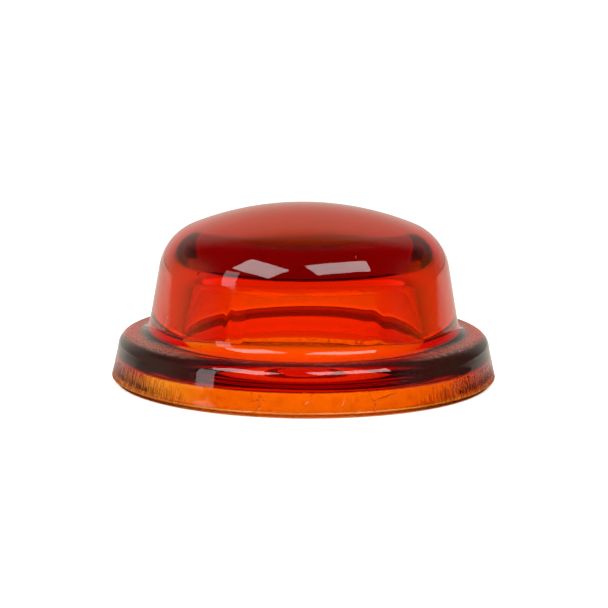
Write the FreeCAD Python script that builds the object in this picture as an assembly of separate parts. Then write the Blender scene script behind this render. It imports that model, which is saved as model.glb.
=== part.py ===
"""A flanged glass dome: one pressed-glass piece, a deep hollow cup turned mouth down, with a thick
round flange at its mouth and a shallow step inside the mouth.

Lengths are millimetres. The dome's axis is +Z. The origin is the centre of the seat, the flat ring
that the flange stands on. The whole piece is one turned outline, so every corner of that outline is
(radius, height).
"""

import FreeCAD, Part

import math
import os

# Flange: a thick ring, widest just above its seat, whose side leans in towards the top.
FLANGE_RADIUS = 45.0
FLANGE_HEIGHT = 11.27
FLANGE_LEAN = math.radians(11.9)
RIM_ROUND = 3.18
SEAT_BEVEL = 1.1

# Outside of the dome: a drafted wall, a round shoulder and a shallow crown.
WALL_RADIUS = 36.56
WALL_DRAFT = math.radians(10.0)
ROOT_ROUND = 3.2
SHOULDER_ROUND = 12.1
CROWN_RADIUS = 70.9
TOTAL_HEIGHT = 41.09

# Step: a shallow ring cut into the seat around the mouth, with a flat ledge above it.
STEP_RADIUS = 39.0
STEP_HEIGHT = 4.6
STEP_ROUND = 0.6

# Cavity: a wall that leans in, which keeps the glass about 8.5 mm thick, and a domed ceiling below the
# much thicker crown.
MOUTH_RADIUS = 29.7
MOUTH_ROUND = 3.0
CAVITY_DRAFT = math.radians(12.4)
CAVITY_HEIGHT = 29.05
CEILING_RADIUS = 90.0
CEILING_ROUND = 4.5

CORNER_TOLERANCE = 0.01


def point(radius, height):
    """A point of the outline, in the XZ plane."""
    return FreeCAD.Vector(radius, 0, height)


def cone_meets_sphere(base_radius, base_height, draft, sphere_radius, top_height):
    """Where a wall that leans in by draft meets a sphere whose highest point is at top_height."""
    centre_height = top_height - sphere_radius
    start = (base_radius, base_height - centre_height)
    along = (-math.sin(draft), math.cos(draft))
    half_b = start[0] * along[0] + start[1] * along[1]
    rest = start[0] ** 2 + start[1] ** 2 - sphere_radius ** 2
    length = -half_b + math.sqrt(half_b ** 2 - rest)
    return base_radius + along[0] * length, base_height + along[1] * length


def domed_edge(corner, sphere_radius, top_height):
    """The arc from the axis to a corner, on a sphere centred on the axis."""
    middle_radius = corner[0] / 2
    middle_height = top_height - sphere_radius + math.sqrt(sphere_radius ** 2 - middle_radius ** 2)
    return Part.Arc(point(0, top_height), point(middle_radius, middle_height), point(*corner)).toShape()


def straight_edges(corners):
    """Straight edges from each corner to the next."""
    points = [point(*corner) for corner in corners]
    return [Part.LineSegment(a, b).toShape() for a, b in zip(points, points[1:])]


def rounded(solid, radius_at):
    """The solid with a round edge of the given radius at each (radius, height) corner."""
    for (corner_radius, corner_height), round_radius in radius_at.items():
        edges = [
            edge
            for edge in solid.Edges
            if not edge.Degenerated
            and isinstance(edge.Curve, Part.Circle)
            and abs(edge.Curve.Radius - corner_radius) < CORNER_TOLERANCE
            and abs(edge.Curve.Center.z - corner_height) < CORNER_TOLERANCE
        ]
        solid = solid.makeFillet(round_radius, edges).Solids[0]
    return solid


def make_glass_dome():
    """The outline turned about the axis, then its corners rounded."""
    rim_inset = (FLANGE_HEIGHT - SEAT_BEVEL) * math.tan(FLANGE_LEAN)
    seat_edge = (FLANGE_RADIUS - SEAT_BEVEL, 0)
    widest = (FLANGE_RADIUS, SEAT_BEVEL)
    rim = (FLANGE_RADIUS - rim_inset, FLANGE_HEIGHT)
    root = (WALL_RADIUS, FLANGE_HEIGHT)
    shoulder = cone_meets_sphere(WALL_RADIUS, FLANGE_HEIGHT, WALL_DRAFT, CROWN_RADIUS, TOTAL_HEIGHT)

    step_edge = (STEP_RADIUS, 0)
    step_corner = (STEP_RADIUS, STEP_HEIGHT)
    mouth = (MOUTH_RADIUS, STEP_HEIGHT)
    ceiling = cone_meets_sphere(MOUTH_RADIUS, STEP_HEIGHT, CAVITY_DRAFT, CEILING_RADIUS, CAVITY_HEIGHT)

    edges = straight_edges([(0, CAVITY_HEIGHT), (0, TOTAL_HEIGHT)])
    edges.append(domed_edge(shoulder, CROWN_RADIUS, TOTAL_HEIGHT))
    edges += straight_edges([shoulder, root, rim, widest, seat_edge, step_edge, step_corner, mouth, ceiling])
    edges.append(domed_edge(ceiling, CEILING_RADIUS, CAVITY_HEIGHT))

    outline = Part.Face(Part.Wire(Part.__sortEdges__(edges)))
    solid = outline.revolve(FreeCAD.Vector(0, 0, 0), FreeCAD.Vector(0, 0, 1), 360)
    return rounded(
        solid,
        {
            shoulder: SHOULDER_ROUND,
            root: ROOT_ROUND,
            rim: RIM_ROUND,
            step_corner: STEP_ROUND,
            mouth: MOUTH_ROUND,
            ceiling: CEILING_ROUND,
        },
    )


def main():
    os.makedirs("parts", exist_ok=True)
    glass_dome = make_glass_dome()
    glass_dome.exportStep("parts/glass_dome.step")
    box = glass_dome.optimalBoundingBox()
    print("glass_dome", glass_dome.ShapeType, "valid", glass_dome.isValid())
    print("size mm", round(box.XLength, 2), round(box.YLength, 2), round(box.ZLength, 2))
    print("volume mm3", round(glass_dome.Volume, 1), "solids", len(glass_dome.Solids))


main()
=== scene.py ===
"""The flanged glass dome as it looks: one piece of thick pressed glass, red-orange where it is deep
and amber where it is thin, standing mouth down on a white studio floor.

The glass is drawn as one closed turned mesh in the place of the CAD node glass_dome. Nearly all its
colour comes from absorption inside it, so it depends on how much glass the light has crossed. On the
surface there is wear on the flange, painted shade along the flange's foot, and a painted orange
sheen, painted light, on the crown and the wall's sides.

Lengths in the outline are millimetres, as in the part's drawing, and are scaled by the CAD box.
Azimuth 0 is towards the camera (-Y) and 90 is to its right (+X).
"""

import math
import random

import bmesh
import bpy
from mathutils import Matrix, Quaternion, Vector, noise


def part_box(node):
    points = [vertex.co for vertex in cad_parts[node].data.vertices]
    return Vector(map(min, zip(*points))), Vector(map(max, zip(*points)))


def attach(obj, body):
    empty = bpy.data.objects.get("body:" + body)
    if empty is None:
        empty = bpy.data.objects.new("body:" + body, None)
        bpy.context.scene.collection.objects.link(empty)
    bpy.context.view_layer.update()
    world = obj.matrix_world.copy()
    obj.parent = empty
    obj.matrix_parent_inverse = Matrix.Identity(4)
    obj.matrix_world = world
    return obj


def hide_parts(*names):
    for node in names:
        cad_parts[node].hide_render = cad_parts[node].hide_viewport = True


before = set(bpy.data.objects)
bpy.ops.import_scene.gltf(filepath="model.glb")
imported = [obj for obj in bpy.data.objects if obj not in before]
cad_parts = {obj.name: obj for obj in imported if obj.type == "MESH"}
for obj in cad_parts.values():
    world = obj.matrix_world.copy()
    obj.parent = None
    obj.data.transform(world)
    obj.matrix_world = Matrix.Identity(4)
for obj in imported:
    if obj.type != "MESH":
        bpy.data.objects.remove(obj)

random.seed(11)
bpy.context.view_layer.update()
box_low, box_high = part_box("glass_dome")

# Flange.
FLANGE_RADIUS = 45.0
FLANGE_HEIGHT = 11.27
FLANGE_LEAN = math.radians(11.9)
RIM_ROUND = 3.18
SEAT_BEVEL = 1.1

# Outside of the dome.
WALL_RADIUS = 36.56
WALL_DRAFT = math.radians(10.0)
ROOT_ROUND = 3.2
SHOULDER_ROUND = 12.1
CROWN_RADIUS = 70.9
TOTAL_HEIGHT = 41.09

# Step in the seat, and the cavity above it.
STEP_RADIUS = 39.0
STEP_HEIGHT = 4.6
STEP_ROUND = 0.6
MOUTH_RADIUS = 29.7
MOUTH_ROUND = 3.0
CAVITY_DRAFT = math.radians(12.4)
CAVITY_HEIGHT = 29.05
CEILING_RADIUS = 90.0
CEILING_ROUND = 4.5

# Small breaks of the sharp edges, too small to be in the CAD.
EDGE_BREAK = 0.25

# The section's corners before they are rounded: radius and height.
RIM_INSET = (FLANGE_HEIGHT - SEAT_BEVEL) * math.tan(FLANGE_LEAN)
ROOT = (WALL_RADIUS, FLANGE_HEIGHT)
RIM = (FLANGE_RADIUS - RIM_INSET, FLANGE_HEIGHT)
WIDEST = (FLANGE_RADIUS, SEAT_BEVEL)
SEAT_EDGE = (FLANGE_RADIUS - SEAT_BEVEL, 0)
STEP_EDGE = (STEP_RADIUS, 0)
STEP_CORNER = (STEP_RADIUS, STEP_HEIGHT)
MOUTH = (MOUTH_RADIUS, STEP_HEIGHT)

MM = (box_high[0] - box_low[0]) / (2 * FLANGE_RADIUS)
SEGMENTS = 400
RING_SPACING = 0.45
FEWEST_ARC_STEPS = 8
SAME_POINT = 1e-6


def direction(azimuth, elevation):
    """The unit vector at an azimuth and elevation in degrees."""
    a = math.radians(azimuth)
    e = math.radians(elevation)
    return Vector((math.sin(a) * math.cos(e), -math.cos(a) * math.cos(e), math.sin(e)))


def smooth(value, low, high):
    """Goes smoothly from 0 at low to 1 at high."""
    t = min(1.0, max(0.0, (value - low) / (high - low)))
    return t * t * (3 - 2 * t)


# ---------------------------------------------------------------- outline


def arc_points(centre, radius, start, end):
    """Points along an arc from one angle to another, the shorter way round."""
    turn = (end - start + math.pi) % (2 * math.pi) - math.pi
    count = max(FEWEST_ARC_STEPS, math.ceil(abs(turn) * radius / RING_SPACING))
    angles = [start + turn * i / count for i in range(count + 1)]
    return [(centre[0] + radius * math.cos(a), centre[1] + radius * math.sin(a)) for a in angles]


def rounded_corner(before, corner, after, radius):
    """The arc that replaces a corner between two straight stretches."""
    here = Vector(corner)
    back = (Vector(before) - here).normalized()
    ahead = (Vector(after) - here).normalized()
    half = back.angle(ahead) / 2
    centre = here + (back + ahead).normalized() * (radius / math.sin(half))
    start = here + back * (radius / math.tan(half)) - centre
    end = here + ahead * (radius / math.tan(half)) - centre
    return arc_points(centre, radius, math.atan2(start.y, start.x), math.atan2(end.y, end.x))


def domed_top(base, draft, sphere_radius, top, round_radius):
    """From a wall that leans in by draft, round its corner and over a sphere's cap to the axis."""
    centre_height = top - sphere_radius
    wall_normal = Vector((math.cos(draft), math.sin(draft)))
    along = Vector((-math.sin(draft), math.cos(draft)))
    foot_shade = Vector(base) - wall_normal * round_radius
    from_centre = foot_shade - Vector((0, centre_height))
    half_b = from_centre.dot(along)
    rest = from_centre.length_squared - (sphere_radius - round_radius) ** 2
    corner = foot_shade + along * (math.sqrt(half_b ** 2 - rest) - half_b)
    join = math.atan2(corner.y - centre_height, corner.x)
    corner_arc = arc_points(corner, round_radius, draft, join)
    cap = arc_points((0, centre_height), sphere_radius, join, math.pi / 2)
    return corner_arc + cap[1:-1] + [(0.0, top)]


def outline():
    """The glass's section, zone by zone: down the outside, under the seat and up to the ceiling."""
    dome = domed_top(ROOT, WALL_DRAFT, CROWN_RADIUS, TOTAL_HEIGHT, SHOULDER_ROUND)
    root_arc = rounded_corner(dome[0], ROOT, RIM, ROOT_ROUND)
    rim_arc = rounded_corner(ROOT, RIM, WIDEST, RIM_ROUND)
    widest_arc = rounded_corner(RIM, WIDEST, SEAT_EDGE, EDGE_BREAK)
    seat_arc = rounded_corner(WIDEST, SEAT_EDGE, STEP_EDGE, EDGE_BREAK)
    step_arc = rounded_corner(SEAT_EDGE, STEP_EDGE, STEP_CORNER, EDGE_BREAK)
    ledge_arc = rounded_corner(STEP_EDGE, STEP_CORNER, MOUTH, STEP_ROUND)
    cavity = domed_top(MOUTH, CAVITY_DRAFT, CEILING_RADIUS, CAVITY_HEIGHT, CEILING_ROUND)
    mouth_arc = rounded_corner(STEP_CORNER, MOUTH, cavity[0], MOUTH_ROUND)
    return [
        ("dome", dome[::-1] + root_arc[:1]),
        ("root", root_arc),
        ("rim", root_arc[-1:] + rim_arc),
        ("side", rim_arc[-1:] + widest_arc[:1]),
        ("bevel", widest_arc + seat_arc[:1]),
        ("seat", seat_arc + step_arc),
        ("step", step_arc[-1:] + ledge_arc + mouth_arc[:1]),
        ("cavity", mouth_arc + cavity),
    ]


def evenly_spaced(points, spacing):
    """The same polyline with no stretch longer than spacing."""
    result = [points[0]]
    for a, b in zip(points, points[1:]):
        count = max(1, math.ceil(math.dist(a, b) / spacing))
        for i in range(1, count + 1):
            result.append((a[0] + (b[0] - a[0]) * i / count, a[1] + (b[1] - a[1]) * i / count))
    return result


# ---------------------------------------------------------------- unevenness


# How the pressed surface is uneven in each zone, in mm: how deep its hollows are, and how long its
# ripples are around the axis and along the section. Ripples fade out near the ends of a zone, except
# high on the dome and in the cavity.
RIPPLES = {
    "dome": (0.05, 26.0, 16.0),
    "root": (0.05, 12.0, 6.0),
    "rim": (0.06, 9.0, 2.2),
    "side": (0.08, 34.0, 1.7),
    "bevel": (0.14, 1.6, 1.0),
    "seat": (0.0, 1.0, 1.0),
    "step": (0.10, 12.0, 3.0),
    "cavity": (0.16, 20.0, 13.0),
}
RIPPLE_SLANT = 0.4
ZONE_FADE = 1.5
NO_FADE_ZONES = ("dome", "cavity")
NO_FADE_HEIGHT = FLANGE_HEIGHT + 10

# A strip of the wall and of the flange's side has no ripples: azimuths in degrees, and the heights
# where ripples come back. It tucks in very slightly towards its foot: by how much, and below what
# height.
EVEN_AZIMUTH = -32.0
EVEN_HALF_WIDTH = 6.0
EVEN_TOP = (30.0, 35.0)
TUCKS = {"side": (0.014, 5.2), "dome": (0.001, 30.0)}

# Faint upright folds in the cavity wall: azimuth in degrees, half width, depth, lowest and highest mm.
FOLDS = [
    (-34.5, 0.6, 0.07, 9.0, 24.0),
    (-27.0, 0.8, 0.05, 7.0, 18.0),
    (34.0, 1.6, 0.09, 10.0, 26.0),
    (150.0, 1.4, 0.06, 6.0, 20.0),
    (-158.0, 1.1, 0.05, 6.0, 16.0),
]

# Each fold fades over some mm at its ends, reaches some half widths aside, and keeps off the axis.
FOLD_END = 4
FOLD_REACH = 3
FOLD_INNERMOST = 1.0


def way_in(zone, points, i):
    """The way into the glass at one point of a zone's line, across and up."""
    if points[i][0] < SAME_POINT:
        return Vector((0.0, -1.0 if zone == "dome" else 1.0))
    before = Vector(points[max(0, i - 1)])
    after = Vector(points[min(len(points) - 1, i + 1)])
    along = (after - before).normalized()
    return Vector((along.y, -along.x))


def ripple_fade(zone, point, travelled, length):
    """How much a point ripples, when it is a way along a zone's line of the given length."""
    radius, height = point
    if radius < SAME_POINT or (zone in NO_FADE_ZONES and height > NO_FADE_HEIGHT):
        return 1.0
    from_end = min(travelled, length - travelled)
    return smooth(from_end, 0.0, min(ZONE_FADE, length / 3))


def section_points():
    """Every ring of the mesh: zone, radius, height, the way into the glass and how much it ripples."""
    rings = []
    for zone, corners in outline():
        points = evenly_spaced(corners, RING_SPACING)
        travelled = [0.0]
        for a, b in zip(points, points[1:]):
            travelled.append(travelled[-1] + math.dist(a, b))
        for i, (radius, height) in enumerate(points):
            if rings and math.dist(rings[-1][1:3], (radius, height)) < SAME_POINT:
                continue
            fade = ripple_fade(zone, points[i], travelled[i], travelled[-1])
            rings.append((zone, radius, height, way_in(zone, points, i), fade))
    return rings


def evened(zone, azimuth, place, fade, sunk):
    """A hollow's depth once the even strip is smoothed."""
    slope, highest = TUCKS[zone]
    aside = smooth(abs(azimuth - EVEN_AZIMUTH), EVEN_HALF_WIDTH, 2 * EVEN_HALF_WIDTH)
    rippled = max(aside, smooth(place.z, *EVEN_TOP))
    tucked = fade * slope * max(0.0, highest - place.z)
    return sunk * rippled + tucked * (1 - rippled)


def fold_hollow(azimuth, place, fold):
    """How far one fold of the cavity wall sinks at a place, in mm."""
    fold_azimuth, half_width, depth, lowest, highest = fold
    turn = (azimuth - fold_azimuth + 180) % 360 - 180
    aside = math.radians(turn) * place.xy.length / half_width
    if abs(aside) >= FOLD_REACH or place.xy.length <= FOLD_INNERMOST:
        return 0.0
    ends = smooth(place.z, lowest, lowest + FOLD_END) * smooth(place.z, highest, highest - FOLD_END)
    return depth * ends * math.exp(-aside * aside)


def hollow(zone, place, fade):
    """How far the surface sinks into the glass at a place, in mm."""
    depth, around, along = RIPPLES[zone]
    if depth == 0.0:
        return 0.0
    slanted = place.z + place.xy.length * RIPPLE_SLANT
    spot = Vector((place.x / around, place.y / around, slanted / along))
    sunk = depth * fade * (0.5 + 0.5 * noise.noise(spot))
    azimuth = math.degrees(math.atan2(place.x, -place.y))
    if zone in TUCKS:
        sunk = evened(zone, azimuth, place, fade, sunk)
    if zone == "cavity":
        for fold in FOLDS:
            sunk += fold_hollow(azimuth, place, fold)
    return sunk


# ---------------------------------------------------------------- glass mesh


def turned_mesh(bm, rings, segments):
    """Joins rings of points into a closed skin. A ring of one point is a pole."""
    rows = [[bm.verts.new(place) for place in ring] for ring in rings]
    faces = []
    for upper, lower in zip(rows, rows[1:]):
        for i in range(segments):
            j = (i + 1) % segments
            if len(upper) == 1:
                faces.append(bm.faces.new((upper[0], lower[i], lower[j])))
            elif len(lower) == 1:
                faces.append(bm.faces.new((upper[i], lower[0], upper[j])))
            else:
                faces.append(bm.faces.new((upper[i], lower[i], lower[j], upper[j])))
    return faces


def uneven_ring(zone, radius, height, inwards, fade):
    """One turn of the section, each point sunk a little into the glass."""
    if radius < SAME_POINT:
        place = Vector((0, 0, height))
        return [(place + Vector((0, 0, inwards.y)) * hollow(zone, place, fade)) * MM]
    ring = []
    for i in range(SEGMENTS):
        turn = 2 * math.pi * i / SEGMENTS
        outwards = Vector((math.cos(turn), math.sin(turn), 0))
        place = outwards * radius + Vector((0, 0, height))
        sunk = hollow(zone, place, fade)
        ring.append((place + (outwards * inwards.x + Vector((0, 0, inwards.y))) * sunk) * MM)
    return ring


# Seed bubbles that can be seen: across, towards the camera and up, and radius, in mm.
SEEDS = [
    (11.2, -27.6, 32.6, 0.42),
    (-23.0, -22.0, 27.6, 0.34),
    (-30.0, -15.0, 16.8, 0.40),
    (-29.4, -16.0, 15.4, 0.34),
    (-6.6, -6.0, 38.2, 0.45),
]
SEED_SIDES = 16
SEED_STRETCH = (1.0, 1.5)

# More small ones at random, in mm. Every third one is in the crown and the others are in the wall,
# nearer to the axis the higher they are.
SPARE_SEEDS = 26
SPARE_RADIUS = (0.1, 0.28)
CROWN_EVERY = 3
CROWN_HEIGHTS = (31.5, 35.5)
CROWN_RADII = (2.0, 20.0)
WALL_HEIGHTS = (9.0, 24.0)
WALL_RADII = (31.5, 33.0)
WALL_LEAN = 0.2


def seed_places():
    """The bubbles that can be seen, and more small ones scattered through the crown and wall."""
    seeds = list(SEEDS)
    for i in range(SPARE_SEEDS):
        turn = random.uniform(0, 2 * math.pi)
        size = random.uniform(*SPARE_RADIUS)
        if i % CROWN_EVERY:
            height = random.uniform(*WALL_HEIGHTS)
            radius = random.uniform(*WALL_RADII) - (height - WALL_HEIGHTS[0]) * WALL_LEAN
        else:
            height = random.uniform(*CROWN_HEIGHTS)
            radius = random.uniform(*CROWN_RADII)
        seeds.append((radius * math.cos(turn), radius * math.sin(turn), height, size))
    return seeds


def seed_rings(x, y, z, radius):
    """A small ball, a little stretched upwards."""
    stretch = random.uniform(*SEED_STRETCH)
    centre = Vector((x, y, z))
    rings = [[(centre + Vector((0, 0, radius * stretch))) * MM]]
    for k in range(1, SEED_SIDES // 2):
        tilt = 2 * math.pi * k / SEED_SIDES
        flat = radius * math.sin(tilt)
        rise = radius * stretch * math.cos(tilt)
        ring = []
        for i in range(SEED_SIDES):
            turn = 2 * math.pi * i / SEED_SIDES
            offset = Vector((flat * math.cos(turn), flat * math.sin(turn), rise))
            ring.append((centre + offset) * MM)
        rings.append(ring)
    rings.append([(centre - Vector((0, 0, radius * stretch))) * MM])
    return rings


def glass_piece():
    """The glass as one mesh: its outer skin, and a skin turned inside out for each seed bubble."""
    bm = bmesh.new()
    turned_mesh(bm, [uneven_ring(*ring) for ring in section_points()], SEGMENTS)
    skins = []
    for seed in seed_places():
        skins += turned_mesh(bm, seed_rings(*seed), SEED_SIDES)
    bmesh.ops.recalc_face_normals(bm, faces=bm.faces)
    bmesh.ops.reverse_faces(bm, faces=skins)
    mesh = bpy.data.meshes.new("glass_body")
    bm.to_mesh(mesh)
    bm.free()
    mesh.shade_smooth()
    piece = bpy.data.objects.new("glass_body", mesh)
    bpy.context.scene.collection.objects.link(piece)
    return piece


# ---------------------------------------------------------------- nodes


CLOUD_ROUGHNESS = 0.6


class Nodes:
    """A short way to add nodes to a tree and link them."""

    def __init__(self, tree):
        self.tree = tree

    def add(self, kind, inputs=None, **settings):
        """A new node with its settings and inputs. An input is a number, a colour or another socket."""
        node = self.tree.nodes.new(kind)
        for name, value in settings.items():
            setattr(node, name, value)
        for key, value in (inputs or {}).items():
            self.set(node, key, value)
        return node

    def set(self, node, key, value):
        """Links a socket to a node's input, or sets the input to a fixed value."""
        if isinstance(value, bpy.types.NodeSocket):
            self.tree.links.new(value, node.inputs[key])
        else:
            node.inputs[key].default_value = value

    def math(self, operation, a, b=0.0):
        """A calculation with two values."""
        return self.add("ShaderNodeMath", {0: a, 1: b}, operation=operation).outputs[0]

    def chain(self, operation, values):
        """The same calculation on several values, from left to right."""
        result = values[0]
        for value in values[1:]:
            result = self.math(operation, result, value)
        return result

    def product(self, *values):
        return self.chain("MULTIPLY", values)

    def total(self, *values):
        return self.chain("ADD", values)

    def highest(self, *values):
        return self.chain("MAXIMUM", values)

    def level(self, x, y):
        """How far a place is from the upright axis."""
        return self.math("SQRT", self.total(self.product(x, x), self.product(y, y)))

    def ramp(self, value, low, high, to_low=0.0, to_high=1.0):
        """Goes smoothly from to_low at low to to_high at high."""
        inputs = {"Value": value, "From Min": low, "From Max": high, "To Min": to_low, "To Max": to_high}
        return self.add("ShaderNodeMapRange", inputs, interpolation_type="SMOOTHSTEP").outputs[0]

    def cloud(self, vector, scale, detail):
        """Uneven noise around 0.5."""
        inputs = {"Vector": vector, "Scale": scale, "Detail": detail}
        inputs["Roughness"] = CLOUD_ROUGHNESS
        return self.add("ShaderNodeTexNoise", inputs).outputs["Fac"]

    def mix(self, amount, first, second):
        """Goes from one value to another. The Mix node has its two values at inputs 2 and 3."""
        inputs = {0: amount, 2: first, 3: second}
        return self.add("ShaderNodeMix", inputs, data_type="FLOAT").outputs[0]

    def mix_colours(self, amount, first, second):
        """Goes from one colour to another. The Mix node has its two colours at inputs 6 and 7."""
        inputs = {0: amount, 6: first, 7: second}
        return self.add("ShaderNodeMix", inputs, data_type="RGBA").outputs[2]


# ---------------------------------------------------------------- glass material


# Glass: light lost per metre in red, green and blue, and the density that Cycles is given.
REFRACTIVE_INDEX = 1.52
GLASS_LOSS = (28.0, 206.0, 1300.0)
GLASS_DENSITY = 1300.0

# Where on the piece each kind of wear, the painted shade at the foot and the painted sheen are, in mm.
# Each pair is the place where it's absent and the place where it's full. Sideways is the distance from
# the plane through the axis and the camera.
SIDEWAYS = (17.0, 33.0)
GROUND_HEIGHTS = (0.4, 0.1)
OUTER_SIDE_RADII = (42.5, 43.5)
WORN_FOOT_HEIGHTS = (1.5, 0.9)
LOW_FLANGE_HEIGHTS = (6.4, 3.6)
LOW_FLANGE_RADII = (41.0, 42.0)
DUST_HEIGHTS = (10.3, 11.1)
DUST_RADII = (37.4, 39.0)
FILM_HEIGHTS = (4.8, 6.4)
FILM_RADII = (39.5, 41.0)
# The painted shade along the flange's foot: where it is absent and where it is full, in mm up.
FOOT_SHADE_HEIGHTS = (2.0, 1.1)
# Where the painted orange sheen lies on the wall's sides and on the crown.
WALL_SHEEN_FOOT = (12.5, 15.0)
WALL_SHEEN_TOP = (33.0, 28.5)
CROWN_SHEEN_HEIGHTS = (33.5, 38.5)

# Patterns: a cloud's scale per mm and its detail, and the part of its range that shows.
HAIRS = (1.7, 4.0)
HAIRS_SHOWN = (0.44, 0.62)
HAIR_SQUEEZE = 0.16
PATCHES = (1.1, 6.0)
PATCHES_SHOWN = (0.34, 0.64)
SMUDGES = (0.09, 3.0)
SMUDGES_SHOWN = (0.45, 0.7)
MOTTLES = (0.5, 6.0)
MOTTLES_SHOWN = (0.42, 0.66)
GRAINS = (3.0, 3.0)
# RAGGED frays the top edge of the painted shade at the foot.
RAGGED = (1.3, 5.0)
RAGGED_MIDDLE = 0.44

# Cracks follow the edges of cells per mm that are bent by a cloud, and show only in some places.
CRACK_CELLS = 0.16
CRACK_WIDTH = (0.035, 0.0)
CRACK_BEND = (0.3, 2.0)
CRACK_BEND_BY = 7.0
CRACK_BREAKS = (0.12, 1.0)
CRACK_BREAKS_SHOWN = (0.46, 0.54)

# How much dust and painted foot shade there is in the middle of the front and at the sides. Ragged
# depths, of the painted foot shade's top edge, are in mm.
DUST_AMOUNTS = (0.05, 1.0)
FOOT_SHADE_AMOUNTS = (0.35, 0.9)
RAGGED_DEPTHS = (3.0, 13.0)

# The least and the most of a pattern, and the most film on the flange's side and painted orange sheen
# on the crown.
PATCH_AMOUNTS = (0.2, 1.0)
MOTTLE_AMOUNTS = (0.0, 0.4)
SIDE_FILM = 0.11
PAINTED_CROWN_SHEEN = 0.8

# Roughness of the smudged surface, and of each kind of wear where it is full.
SMUDGE_ROUGHNESS = (0.01, 0.04)
GROUND_ROUGHNESS = 0.9
WORN_FOOT_ROUGHNESS = 0.16
SCUFF_ROUGHNESS = 0.14
DUST_ROUGHNESS = 0.36

# Relief: how strong the bump is, how high it is in mm, and how much each kind of wear adds.
BUMP_STRENGTH = 0.7
BUMP_HEIGHT = 0.25
WORN_FOOT_GRAINS = 2.5
SCUFF_RELIEF = 0.4

# Stains on the surface, painted sheen and painted shade: colours, the amount at which each is full,
# and how much light they stop.
CLEAN_COLOUR = (1, 1, 1, 1)
FILM_COLOUR = (0.72, 0.25, 0.18, 1)
FILM_FULL = 0.08
FILM_OPACITY = 0.24
PAINTED_SHEEN_COLOUR = (1, 0.68, 0.1, 1)
PAINTED_SHEEN_FULL = 0.3
PAINTED_SHEEN_OPACITY = 0.032
# Dark brown for grime in cracks, scuffs and mottles, and for the painted shade at the foot.
GRIME_AND_SHADE_COLOUR = (0.3, 0.13, 0.06, 1)
CRACK_GRIME = 0.8
SCUFF_GRIME = 0.5
SCUFF_GRIME_SHOWN = (0.6, 0.95)


class GlassNodes(Nodes):
    """Nodes of the glass material, with sockets that say where a point of the glass is, in mm."""

    def __init__(self, tree):
        super().__init__(tree)
        object_place = self.add("ShaderNodeTexCoord").outputs["Object"]
        to_mm = {0: object_place, "Scale": 1 / MM}
        self.place = self.add("ShaderNodeVectorMath", to_mm, operation="SCALE").outputs[0]
        x, y, self.height = self.add("ShaderNodeSeparateXYZ", {0: self.place}).outputs
        self.radius = self.level(x, y)
        turn = self.math("ARCTAN2", x, self.product(y, -1.0))
        self.around = self.product(turn, FLANGE_RADIUS)
        self.sideways = self.ramp(self.math("ABSOLUTE", x), *SIDEWAYS)
        upright = {0: self.around, 2: self.product(self.height, HAIR_SQUEEZE)}
        self.upright = self.add("ShaderNodeCombineXYZ", upright).outputs[0]

    def zone(self, heights, radii):
        """The part of the piece between some heights and radii."""
        return self.product(self.ramp(self.height, *heights), self.ramp(self.radius, *radii))


def dust_on_flange(nodes):
    """Dust lies on top of the flange, in patches, and hardly at all in the middle of the front."""
    patches = nodes.ramp(nodes.cloud(nodes.place, *PATCHES), *PATCHES_SHOWN, *PATCH_AMOUNTS)
    cover = nodes.product(nodes.ramp(nodes.sideways, 0.0, 1.0, *DUST_AMOUNTS), patches)
    return nodes.product(cover, nodes.zone(DUST_HEIGHTS, DUST_RADII))


def painted_foot_shade(nodes, outer_side):
    """Painted shade along the foot of the flange, ragged at the sides."""
    spread = nodes.math("SUBTRACT", nodes.cloud(nodes.upright, *RAGGED), RAGGED_MIDDLE)
    ragged = nodes.product(spread, nodes.ramp(nodes.sideways, 0.0, 1.0, *RAGGED_DEPTHS))
    foot_shade = nodes.ramp(nodes.math("SUBTRACT", nodes.height, ragged), *FOOT_SHADE_HEIGHTS)
    return nodes.product(foot_shade, nodes.ramp(nodes.sideways, 0.0, 1.0, *FOOT_SHADE_AMOUNTS), outer_side)


def fine_cracks(nodes, low_flange):
    """Thin broken lines low on the flange."""
    warp = nodes.product(nodes.cloud(nodes.place, *CRACK_BEND), CRACK_BEND_BY)
    bent = {0: nodes.total(nodes.around, warp), 1: nodes.total(nodes.height, warp)}
    inputs = {"Vector": nodes.add("ShaderNodeCombineXYZ", bent).outputs[0], "Scale": CRACK_CELLS}
    settings = {"feature": "DISTANCE_TO_EDGE", "voronoi_dimensions": "2D"}
    cells = nodes.add("ShaderNodeTexVoronoi", inputs, **settings)
    lines = nodes.ramp(cells.outputs["Distance"], *CRACK_WIDTH)
    broken = nodes.ramp(nodes.cloud(nodes.place, *CRACK_BREAKS), *CRACK_BREAKS_SHOWN)
    return nodes.product(lines, broken, low_flange)


def painted_orange_sheen(nodes):
    """A painted orange sheen, painted light, on the wall's sides and on the crown."""
    wall = nodes.product(
        nodes.ramp(nodes.height, *WALL_SHEEN_FOOT),
        nodes.ramp(nodes.height, *WALL_SHEEN_TOP),
        nodes.sideways,
    )
    return nodes.highest(wall, nodes.ramp(nodes.height, *CROWN_SHEEN_HEIGHTS, 0.0, PAINTED_CROWN_SHEEN))


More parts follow.
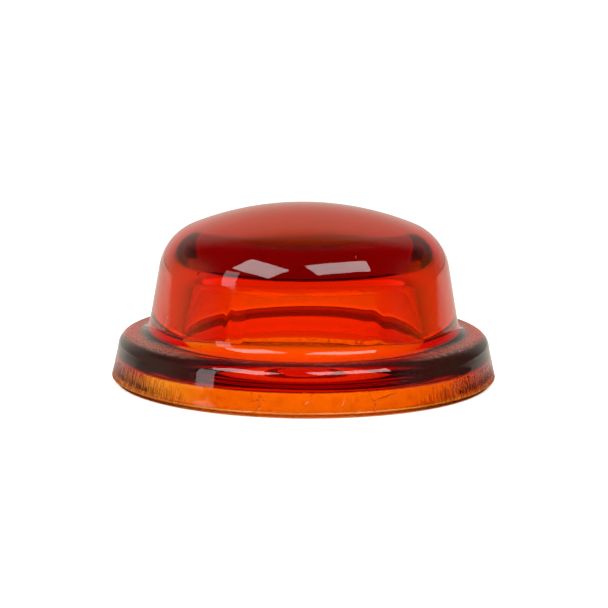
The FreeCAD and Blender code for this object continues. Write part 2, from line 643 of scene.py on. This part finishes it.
def wear_and_painted_light_masks(nodes):
    """Where each kind of wear, the painted foot shade and the painted sheen are, from 0 to 1, by name.
    """
    outer_side = nodes.ramp(nodes.radius, *OUTER_SIDE_RADII)
    low_flange = nodes.zone(LOW_FLANGE_HEIGHTS, LOW_FLANGE_RADII)
    hairs = nodes.ramp(nodes.cloud(nodes.upright, *HAIRS), *HAIRS_SHOWN)
    mottles = nodes.ramp(nodes.cloud(nodes.place, *MOTTLES), *MOTTLES_SHOWN, *MOTTLE_AMOUNTS)
    dust = dust_on_flange(nodes)
    side_film = nodes.product(nodes.zone(FILM_HEIGHTS, FILM_RADII), nodes.sideways, SIDE_FILM)
    return {
        "ground": nodes.ramp(nodes.height, *GROUND_HEIGHTS),
        "worn_foot": nodes.product(nodes.ramp(nodes.height, *WORN_FOOT_HEIGHTS), outer_side),
        "scuffs": nodes.product(hairs, low_flange, nodes.sideways),
        "dust": dust,
        "film": nodes.highest(dust, side_film),
        "foot_shade": painted_foot_shade(nodes, outer_side),
        "cracks": fine_cracks(nodes, low_flange),
        "mottles": nodes.product(mottles, low_flange),
        "painted_sheen": painted_orange_sheen(nodes),
    }


def glass_roughness(nodes, wear_and_painted_light):
    """Polished, with faint smudges, and rougher where it is worn or dusty."""
    smudges = nodes.ramp(nodes.cloud(nodes.place, *SMUDGES), *SMUDGES_SHOWN, *SMUDGE_ROUGHNESS)
    return nodes.highest(
        smudges,
        nodes.product(wear_and_painted_light["ground"], GROUND_ROUGHNESS),
        nodes.product(wear_and_painted_light["worn_foot"], WORN_FOOT_ROUGHNESS),
        nodes.product(wear_and_painted_light["scuffs"], SCUFF_ROUGHNESS),
        nodes.product(wear_and_painted_light["dust"], DUST_ROUGHNESS),
    )


def glass_relief(nodes, wear_and_painted_light):
    """Grains of dust, chips at the foot, and scuffs and cracks low on the flange."""
    worn_chips = nodes.product(wear_and_painted_light["worn_foot"], WORN_FOOT_GRAINS)
    grains = nodes.product(nodes.cloud(nodes.place, *GRAINS), nodes.total(wear_and_painted_light["dust"], worn_chips))
    raised = nodes.total(grains, nodes.product(wear_and_painted_light["scuffs"], SCUFF_RELIEF))
    relief = nodes.math("SUBTRACT", raised, wear_and_painted_light["cracks"])
    inputs = {"Strength": BUMP_STRENGTH, "Distance": BUMP_HEIGHT * MM, "Height": relief}
    return nodes.add("ShaderNodeBump", inputs).outputs[0]


def glass_stain_and_painted_light(nodes, wear_and_painted_light):
    """Clear, but brownish under the dust and film, orange in the painted sheen, and dark in the grime
    and in the painted shade at the foot.
    """
    worn_lines = nodes.product(nodes.ramp(wear_and_painted_light["scuffs"], *SCUFF_GRIME_SHOWN), SCUFF_GRIME)
    crack_lines = nodes.product(wear_and_painted_light["cracks"], CRACK_GRIME)
    grime_and_shade = nodes.highest(wear_and_painted_light["foot_shade"], wear_and_painted_light["mottles"], crack_lines, worn_lines)
    tint = nodes.mix_colours(nodes.ramp(wear_and_painted_light["film"], 0.0, FILM_FULL), CLEAN_COLOUR, FILM_COLOUR)
    tint = nodes.mix_colours(nodes.ramp(wear_and_painted_light["painted_sheen"], 0.0, PAINTED_SHEEN_FULL), tint, PAINTED_SHEEN_COLOUR)
    return nodes.mix_colours(grime_and_shade, tint, GRIME_AND_SHADE_COLOUR)


def glass_material():
    """Clear tinted glass. It's ground at the seat, scuffed low on the flange and dusty on its top. It
    has painted shade along the flange's foot and a painted orange sheen on the crown and the wall's
    sides.
    """
    material = bpy.data.materials.new("amber_glass")
    material.use_nodes = True
    nodes = GlassNodes(material.node_tree)
    wear_and_painted_light = wear_and_painted_light_masks(nodes)
    film = nodes.product(wear_and_painted_light["film"], FILM_OPACITY)
    # The painted sheen takes a little of the transmission and shows as orange colour on the surface.
    painted_sheen = nodes.product(wear_and_painted_light["painted_sheen"], PAINTED_SHEEN_OPACITY)

    surface = material.node_tree.nodes["Principled BSDF"]
    nodes.set(surface, "Base Color", glass_stain_and_painted_light(nodes, wear_and_painted_light))
    nodes.set(surface, "Transmission Weight", nodes.math("SUBTRACT", 1.0, nodes.total(film, painted_sheen)))
    nodes.set(surface, "IOR", REFRACTIVE_INDEX)
    nodes.set(surface, "Roughness", glass_roughness(nodes, wear_and_painted_light))
    nodes.set(surface, "Normal", glass_relief(nodes, wear_and_painted_light))

    kept = [1 - loss / GLASS_DENSITY for loss in GLASS_LOSS]
    depth = nodes.add("ShaderNodeVolumeAbsorption", {"Color": (*kept, 1), "Density": GLASS_DENSITY})
    nodes.set(material.node_tree.nodes["Material Output"], "Volume", depth.outputs[0])
    return material


# ---------------------------------------------------------------- floor


# The table top: its radius in metres and how coarse its edge is, in degrees.
TABLE_RADIUS = 0.6
TABLE_EDGE_STEP = 5

# Its light from below, close by and far behind the dome, and the mm over which it fades.
TABLE_GLOW = 0.5
TABLE_FAR_GLOW = 0.1
TABLE_FAR = (70, 150)

# To mirrored rays only the part behind the dome is lit: where the light starts and is full, for each mm
# from the axis, measured from a line some mm in front of it.
TABLE_BEHIND_GLOW = 0.75
BEHIND = (0.2, 0.75)
BEHIND_FROM = 15

# Colours of the light and, in mm, where those under the dome begin. Under the dome the table's glow is
# a painted pool of light, orange, and yellow-green near its left wall.
WALL_COLOUR = (1, 0.95, 0.84, 1)
PAINTED_DOME_LIGHT_COLOUR = (1.2, 0.6, 0.1, 1)
PAINTED_LEFT_LIGHT_COLOUR = (1.4, 2.0, 0.5, 1)
COVERED_RADII = (42, 38)
COVERED_LEFT = (-18, -34)

# The table's own colours, seen directly and in a reflection.
FLOOR_COLOUR = (0.9, 0.9, 0.9, 1)
MIRRORED_FLOOR_COLOUR = (0.02, 0.02, 0.02, 1)
FLOOR_ROUGHNESS = 0.8


def floor_glow(nodes, x, y, mirrored):
    """How bright the table's own light is, and its colour."""
    level = nodes.level(x, y)
    from_front = nodes.total(y, BEHIND_FROM * MM)
    backwards = nodes.math("DIVIDE", from_front, nodes.highest(level, MM))
    behind = nodes.ramp(backwards, *BEHIND, 0.0, TABLE_BEHIND_GLOW)
    far, farthest = TABLE_FAR
    fading = nodes.ramp(y, far * MM, farthest * MM, TABLE_GLOW, TABLE_FAR_GLOW)

    right, left = COVERED_LEFT
    at_left = nodes.ramp(x, right * MM, left * MM)
    # Painted light: the glow under the dome is coloured as if it had crossed the glass.
    painted_dome_light = nodes.mix_colours(at_left, PAINTED_DOME_LIGHT_COLOUR, PAINTED_LEFT_LIGHT_COLOUR)
    outer, inner = COVERED_RADII
    covered = nodes.ramp(level, outer * MM, inner * MM)
    return nodes.mix(mirrored, fading, behind), nodes.mix_colours(covered, WALL_COLOUR, painted_dome_light)


def floor_material():
    """White and lit from below. Under the dome its glow is painted orange, a painted pool of light, and
    near its left wall it is painted yellow-green.

    To rays that have been mirrored by the glass, only the part behind the dome is bright.
    """
    material = bpy.data.materials.new("floor")
    material.use_nodes = True
    nodes = Nodes(material.node_tree)
    place = nodes.add("ShaderNodeTexCoord").outputs["Object"]
    x, y, _ = nodes.add("ShaderNodeSeparateXYZ", {0: place}).outputs
    path = nodes.add("ShaderNodeLightPath")
    mirrored = nodes.math("SUBTRACT", path.outputs["Is Glossy Ray"], path.outputs["Is Transmission Ray"])
    glow, glow_colour = floor_glow(nodes, x, y, mirrored)

    surface = material.node_tree.nodes["Principled BSDF"]
    colour = nodes.mix_colours(mirrored, FLOOR_COLOUR, MIRRORED_FLOOR_COLOUR)
    nodes.set(surface, "Base Color", colour)
    nodes.set(surface, "Roughness", FLOOR_ROUGHNESS)
    nodes.set(surface, "Specular IOR Level", 0.0)
    nodes.set(surface, "Emission Color", glow_colour)
    nodes.set(surface, "Emission Strength", glow)
    return material


def floor_piece():
    """A round white table top. Beyond its edge the camera sees the white surroundings."""
    azimuths = range(0, 360, TABLE_EDGE_STEP)
    corners = [direction(azimuth, 0) * TABLE_RADIUS for azimuth in azimuths]
    mesh = bpy.data.meshes.new("floor")
    mesh.from_pydata(corners, [], [range(len(corners))])
    mesh.materials.append(floor_material())
    piece = bpy.data.objects.new("floor", mesh)
    bpy.context.scene.collection.objects.link(piece)
    return piece


# ---------------------------------------------------------------- studio


# Lamps: name, azimuth and elevation of the lamp, width and height in metres as if it were one metre
# away, turn in degrees, brightness and distance in metres. They face a point in the dome, in mm up.
SOFTBOXES = [
    ("softbox_left", -41.9, 43.0, 0.62, 0.42, -20, 5.5, 1.0),
    ("softbox_right", 36.2, 48.6, 0.74, 0.40, -3, 5.5, 1.0),
    ("strip_left", -61.5, 19.05, 0.22, 0.403, 5, 2.4, 4.0),
]
LAMP_AIM = 20
FILL_IRRADIANCE = 2.9
FILL_SPREAD = 110


def softbox(name, azimuth, elevation, width, height, turn, brightness, distance):
    """A rectangular lamp that faces the dome."""
    lamp = bpy.data.lights.new(name, "AREA")
    lamp.shape = "RECTANGLE"
    lamp.size = width * distance
    lamp.size_y = height * distance
    lamp.energy = brightness * math.pi * lamp.size * lamp.size_y
    piece = bpy.data.objects.new(name, lamp)
    towards = direction(azimuth, elevation)
    piece.location = towards * distance + Vector((0, 0, LAMP_AIM * MM))
    piece.rotation_mode = "QUATERNION"
    facing = (-towards).to_track_quat("-Z", "Y")
    piece.rotation_quaternion = facing @ Quaternion((0, 0, 1), math.radians(turn))
    bpy.context.scene.collection.objects.link(piece)


def overhead_fill():
    """Even light from above. It doesn't show as a reflection on the glass."""
    lamp = bpy.data.lights.new("overhead_fill", "SUN")
    lamp.energy = FILL_IRRADIANCE
    lamp.angle = math.radians(FILL_SPREAD)
    piece = bpy.data.objects.new("overhead_fill", lamp)
    piece.visible_glossy = False
    bpy.context.scene.collection.objects.link(piece)


# The room in the direction (x, y, z), as mirrored rays meet it. A card stands behind the dome above a
# sweep, and a wall at its left. Each pair is where it's absent and where it's full: heights z, places
# backwards (1 is straight behind and -1 straight in front), and sideways x.
BACKDROP_BRIGHTNESS = 0.37
BACKDROP_HEIGHTS = (0.83, 0.62)
BACKDROP_BACKWARDS = (0.5, 1.0)
SWEEP_BRIGHTNESS = 0.2
SWEEP_HEIGHTS = (0.45, 0.05)
HORIZON = (-0.03, 0.03)
LEFT_WALL_BRIGHTNESS = 0.17
LEFT_WALL_HEIGHTS = (0.6, 0.3)
LEFT_WALL_BACKWARDS = (-0.4, 0.1)
LEFT_WALL_SIDEWAYS = (0.0, -0.4)
UNDER_HORIZON = (0.0, -0.02)

# The room as it is seen through the glass, and the white that the camera sees directly.
THROUGH_BRIGHTNESS = 1.5
THROUGH_HEIGHTS = (0.85, 0.35)
THROUGH_BACKWARDS = (0.1, 0.95)
ROOM_BRIGHTNESS = 0.01
SEEN_BRIGHTNESS = 1.3
LEAST_LEVEL = 0.001


def mirrored_room(nodes, x, z, backwards):
    """How bright the room is to rays that the glass mirrors."""
    card = nodes.ramp(z, *BACKDROP_HEIGHTS, 0.0, BACKDROP_BRIGHTNESS)
    sweep = nodes.ramp(z, *SWEEP_HEIGHTS, 0.0, SWEEP_BRIGHTNESS)
    above = nodes.product(nodes.total(card, sweep), nodes.ramp(z, *HORIZON))
    back = nodes.product(nodes.ramp(backwards, *BACKDROP_BACKWARDS), above)
    left_wall = nodes.product(
        nodes.ramp(backwards, *LEFT_WALL_BACKWARDS),
        nodes.ramp(x, *LEFT_WALL_SIDEWAYS),
        nodes.ramp(z, *LEFT_WALL_HEIGHTS, 0.0, LEFT_WALL_BRIGHTNESS),
    )
    below = nodes.product(
        nodes.ramp(backwards, *BEHIND),
        nodes.ramp(z, *UNDER_HORIZON),
        TABLE_BEHIND_GLOW,
    )
    return nodes.total(left_wall, back, below)


def studio_world():
    """A bright floor that sweeps up to a greyer backdrop behind the dome, in an otherwise dark room."""
    world = bpy.data.worlds.new("studio")
    world.use_nodes = True
    bpy.context.scene.world = world
    nodes = Nodes(world.node_tree)
    towards = nodes.add("ShaderNodeTexCoord").outputs["Generated"]
    x, y, z = nodes.add("ShaderNodeSeparateXYZ", {0: towards}).outputs
    backwards = nodes.math("DIVIDE", y, nodes.highest(nodes.level(x, y), LEAST_LEVEL))
    low = nodes.ramp(z, *THROUGH_HEIGHTS, 0.0, THROUGH_BRIGHTNESS)
    through = nodes.product(nodes.ramp(backwards, *THROUGH_BACKWARDS), low)
    path = nodes.add("ShaderNodeLightPath")
    mirrored = mirrored_room(nodes, x, z, backwards)
    glow = nodes.mix(path.outputs["Is Transmission Ray"], mirrored, through)
    room = nodes.total(glow, ROOM_BRIGHTNESS)
    background = world.node_tree.nodes["Background"]
    nodes.set(background, "Color", WALL_COLOUR)
    nodes.set(background, "Strength", nodes.mix(path.outputs["Is Camera Ray"], room, SEEN_BRIGHTNESS))


# Camera: how far it is in mm, how high it stands, how far it tips up and rolls, in degrees, and its
# lens and sensor in mm.
CAMERA_DISTANCE = 472.3
CAMERA_ELEVATION = 11.89
CAMERA_AIM = 2.075
CAMERA_ROLL = 0.43
LENS = 118.4
SENSOR_WIDTH = 36.0


def camera():
    """Looks at the seat's centre, then tips up so that the dome sits in the middle of the frame."""
    data = bpy.data.cameras.new("camera")
    data.lens = LENS
    data.sensor_width = SENSOR_WIDTH
    piece = bpy.data.objects.new("camera", data)
    towards = direction(0, CAMERA_ELEVATION)
    piece.location = towards * (CAMERA_DISTANCE * MM)
    aim = Quaternion((1, 0, 0), math.radians(CAMERA_AIM))
    roll = Quaternion((0, 0, 1), math.radians(CAMERA_ROLL))
    piece.rotation_mode = "QUATERNION"
    piece.rotation_quaternion = (-towards).to_track_quat("-Z", "Y") @ aim @ roll
    bpy.context.scene.collection.objects.link(piece)
    bpy.context.scene.camera = piece


MAX_BOUNCES = 24
GLOSSY_BOUNCES = 12
INDIRECT_CLAMP = 10


def studio():
    """The floor, the lamps, the room and the camera. Thick glass needs many bounces."""
    floor_piece()
    for box in SOFTBOXES:
        softbox(*box)
    overhead_fill()
    studio_world()
    camera()
    scene = bpy.context.scene
    scene.view_settings.view_transform = "Standard"
    scene.cycles.max_bounces = MAX_BOUNCES
    scene.cycles.transmission_bounces = MAX_BOUNCES
    scene.cycles.glossy_bounces = GLOSSY_BOUNCES
    scene.cycles.sample_clamp_indirect = INDIRECT_CLAMP
    scene.cycles.use_denoising = True


glass = glass_piece()
glass.data.materials.append(glass_material())
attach(glass, "root")
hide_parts("glass_dome")
studio()
